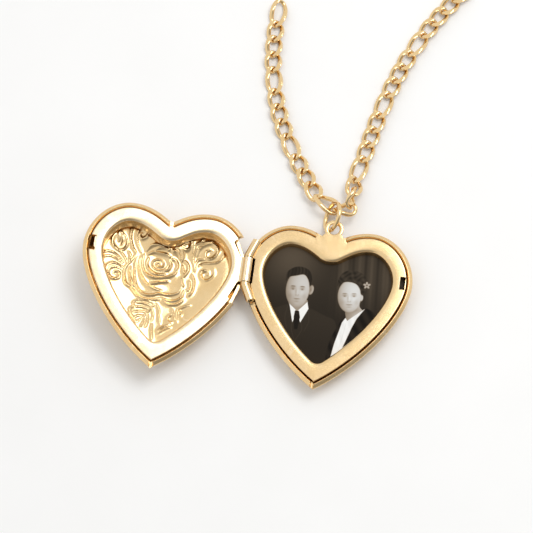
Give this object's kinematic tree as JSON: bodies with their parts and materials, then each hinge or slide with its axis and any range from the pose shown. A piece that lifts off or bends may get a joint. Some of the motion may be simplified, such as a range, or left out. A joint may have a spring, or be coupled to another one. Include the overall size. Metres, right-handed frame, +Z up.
{
  "type": "photo locket",
  "caption": "Heart-shaped photo locket opened flat: embossed hinged cover, framed print, bail, jump ring and a run of figaro chain.",
  "frame": {"origin": "middle of the back shell's flat back face, under the heart's centre line", "axes": "+Z up out of the open locket, +Y towards the bail, +X away from the hinge"},
  "size_m": [0.0612, 0.0798, 0.0074],
  "materials": {
    "shell_gold": "polished gold plating on stamped sheet",
    "frame_gold": "satin gold plating, finely brushed",
    "print_paper": "semi-matt photographic print, dark sepia",
    "pin_gold": "drawn wire, gold plated",
    "ring_gold": "polished gold-plated wire",
    "chain_gold": "polished gold plating with ground flats"
  },
  "bodies": {
    "back": {"back_shell": "shell_gold", "back_frame": "frame_gold", "photo_print": "print_paper", "hinge_pin": "pin_gold"},
    "cover": {"cover_shell": "shell_gold", "cover_frame": "frame_gold"},
    "jump_ring": {"jump_ring": "ring_gold"},
    "link_left_01": {"link_left_01": "chain_gold"},
    "link_left_02": {"link_left_02": "chain_gold"},
    "link_left_03": {"link_left_03": "chain_gold"},
    "link_left_04": {"link_left_04": "chain_gold"},
    "link_left_05": {"link_left_05": "chain_gold"},
    "link_left_06": {"link_left_06": "chain_gold"},
    "link_left_07": {"link_left_07": "chain_gold"},
    "link_left_08": {"link_left_08": "chain_gold"},
    "link_left_09": {"link_left_09": "chain_gold"},
    "link_left_10": {"link_left_10": "chain_gold"},
    "link_left_11": {"link_left_11": "chain_gold"},
    "link_left_12": {"link_left_12": "chain_gold"},
    "link_left_13": {"link_left_13": "chain_gold"},
    "link_right_01": {"link_right_01": "chain_gold"},
    "link_right_02": {"link_right_02": "chain_gold"},
    "link_right_03": {"link_right_03": "chain_gold"},
    "link_right_04": {"link_right_04": "chain_gold"},
    "link_right_05": {"link_right_05": "chain_gold"},
    "link_right_06": {"link_right_06": "chain_gold"},
    "link_right_07": {"link_right_07": "chain_gold"},
    "link_right_08": {"link_right_08": "chain_gold"},
    "link_right_09": {"link_right_09": "chain_gold"},
    "link_right_10": {"link_right_10": "chain_gold"},
    "link_right_11": {"link_right_11": "chain_gold"},
    "link_right_12": {"link_right_12": "chain_gold"},
    "link_right_13": {"link_right_13": "chain_gold"},
    "link_right_14": {"link_right_14": "chain_gold"},
    "link_right_15": {"link_right_15": "chain_gold"},
    "link_right_16": {"link_right_16": "chain_gold"}
  },
  "joints": [
    {"name": "cover_hinge", "type": "hinge", "parent": "back", "child": "cover", "pos_m": [-0.01385, 0.005, 0.0033], "axis": [0, 1, 0], "range_deg": [0, 172.5]},
    {"name": "ring_swing", "type": "hinge", "parent": "back", "child": "jump_ring", "pos_m": [0, 0.0155, 0.00307], "axis": [1, 0, 0], "range_deg": [0, 60]},
    {"name": "link_left_01_bend", "type": "hinge", "parent": "jump_ring", "child": "link_left_01", "pos_m": [-0.00011, 0.01836, 0.00171], "axis": [0, 0, 1], "range_deg": [-2, 6]},
    {"name": "link_left_02_bend", "type": "hinge", "parent": "link_left_01", "child": "link_left_02", "pos_m": [-0.00375, 0.02046, 0.00152], "axis": [0, 0, 1], "range_deg": [-2, 6]},
    {"name": "link_left_03_bend", "type": "hinge", "parent": "link_left_02", "child": "link_left_03", "pos_m": [-0.00534, 0.02292, 0.00097], "axis": [0, 0, 1], "range_deg": [-2, 6]},
    {"name": "link_left_04_bend", "type": "hinge", "parent": "link_left_03", "child": "link_left_04", "pos_m": [-0.00695, 0.02536, 0.0007], "axis": [0, 0, 1], "range_deg": [-2, 6]},
    {"name": "link_left_05_bend", "type": "hinge", "parent": "link_left_04", "child": "link_left_05", "pos_m": [-0.00854, 0.02786, 0.00068], "axis": [0, 0, 1], "range_deg": [-2, 6]},
    {"name": "link_left_06_bend", "type": "hinge", "parent": "link_left_05", "child": "link_left_06", "pos_m": [-0.01061, 0.03157, 0.00068], "axis": [0, 0, 1], "range_deg": [-2, 6]},
    {"name": "link_left_07_bend", "type": "hinge", "parent": "link_left_06", "child": "link_left_07", "pos_m": [-0.01184, 0.03424, 0.00068], "axis": [0, 0, 1], "range_deg": [-2, 6]},
    {"name": "link_left_08_bend", "type": "hinge", "parent": "link_left_07", "child": "link_left_08", "pos_m": [-0.01287, 0.03697, 0.00068], "axis": [0, 0, 1], "range_deg": [-2, 6]},
    {"name": "link_left_09_bend", "type": "hinge", "parent": "link_left_08", "child": "link_left_09", "pos_m": [-0.01371, 0.03982, 0.00068], "axis": [0, 0, 1], "range_deg": [-2, 6]},
    {"name": "link_left_10_bend", "type": "hinge", "parent": "link_left_09", "child": "link_left_10", "pos_m": [-0.01457, 0.04401, 0.00068], "axis": [0, 0, 1], "range_deg": [-2, 6]},
    {"name": "link_left_11_bend", "type": "hinge", "parent": "link_left_10", "child": "link_left_11", "pos_m": [-0.01493, 0.04697, 0.00068], "axis": [0, 0, 1], "range_deg": [-2, 6]},
    {"name": "link_left_12_bend", "type": "hinge", "parent": "link_left_11", "child": "link_left_12", "pos_m": [-0.01512, 0.04988, 0.00068], "axis": [0, 0, 1], "range_deg": [-2, 6]},
    {"name": "link_left_13_bend", "type": "hinge", "parent": "link_left_12", "child": "link_left_13", "pos_m": [-0.01517, 0.0528, 0.00068], "axis": [0, 0, 1], "range_deg": [-2, 6]},
    {"name": "link_right_01_bend", "type": "hinge", "parent": "link_left_01", "child": "link_right_01", "pos_m": [-0.00013, 0.01831, 0.00199], "axis": [0, 0, -1], "range_deg": [-2, 6]},
    {"name": "link_right_02_bend", "type": "hinge", "parent": "link_right_01", "child": "link_right_02", "pos_m": [0.00198, 0.01939, 0.00193], "axis": [0, 0, -1], "range_deg": [-2, 6]},
    {"name": "link_right_03_bend", "type": "hinge", "parent": "link_right_02", "child": "link_right_03", "pos_m": [0.00238, 0.02175, 0.00164], "axis": [0, 0, -1], "range_deg": [-2, 6]},
    {"name": "link_right_04_bend", "type": "hinge", "parent": "link_right_03", "child": "link_right_04", "pos_m": [0.00228, 0.02456, 0.00093], "axis": [0, 0, -1], "range_deg": [-2, 6]},
    {"name": "link_right_05_bend", "type": "hinge", "parent": "link_right_04", "child": "link_right_05", "pos_m": [0.00325, 0.02869, 0.00072], "axis": [0, 0, -1], "range_deg": [-2, 6]},
    {"name": "link_right_06_bend", "type": "hinge", "parent": "link_right_05", "child": "link_right_06", "pos_m": [0.00381, 0.03154, 0.00068], "axis": [0, 0, -1], "range_deg": [-2, 6]},
    {"name": "link_right_07_bend", "type": "hinge", "parent": "link_right_06", "child": "link_right_07", "pos_m": [0.0044, 0.03441, 0.00068], "axis": [0, 0, -1], "range_deg": [-2, 6]},
    {"name": "link_right_08_bend", "type": "hinge", "parent": "link_right_07", "child": "link_right_08", "pos_m": [0.00503, 0.03727, 0.00068], "axis": [0, 0, -1], "range_deg": [-2, 6]},
    {"name": "link_right_09_bend", "type": "hinge", "parent": "link_right_08", "child": "link_right_09", "pos_m": [0.00611, 0.04139, 0.00068], "axis": [0, 0, -1], "range_deg": [-2, 6]},
    {"name": "link_right_10_bend", "type": "hinge", "parent": "link_right_09", "child": "link_right_10", "pos_m": [0.007, 0.04422, 0.00068], "axis": [0, 0, -1], "range_deg": [-2, 6]},
    {"name": "link_right_11_bend", "type": "hinge", "parent": "link_right_10", "child": "link_right_11", "pos_m": [0.008, 0.04698, 0.00068], "axis": [0, 0, -1], "range_deg": [-2, 6]},
    {"name": "link_right_12_bend", "type": "hinge", "parent": "link_right_11", "child": "link_right_12", "pos_m": [0.00915, 0.04974, 0.00068], "axis": [0, 0, -1], "range_deg": [-2, 6]},
    {"name": "link_right_13_bend", "type": "hinge", "parent": "link_right_12", "child": "link_right_13", "pos_m": [0.01101, 0.05353, 0.00068], "axis": [0, 0, -1], "range_deg": [-2, 6]},
    {"name": "link_right_14_bend", "type": "hinge", "parent": "link_right_13", "child": "link_right_14", "pos_m": [0.01245, 0.05608, 0.00068], "axis": [0, 0, -1], "range_deg": [-2, 6]},
    {"name": "link_right_15_bend", "type": "hinge", "parent": "link_right_14", "child": "link_right_15", "pos_m": [0.01403, 0.05856, 0.00068], "axis": [0, 0, -1], "range_deg": [-2, 6]},
    {"name": "link_right_16_bend", "type": "hinge", "parent": "link_right_15", "child": "link_right_16", "pos_m": [0.01575, 0.06098, 0.00068], "axis": [0, 0, -1], "range_deg": [-2, 6]}
  ]
}
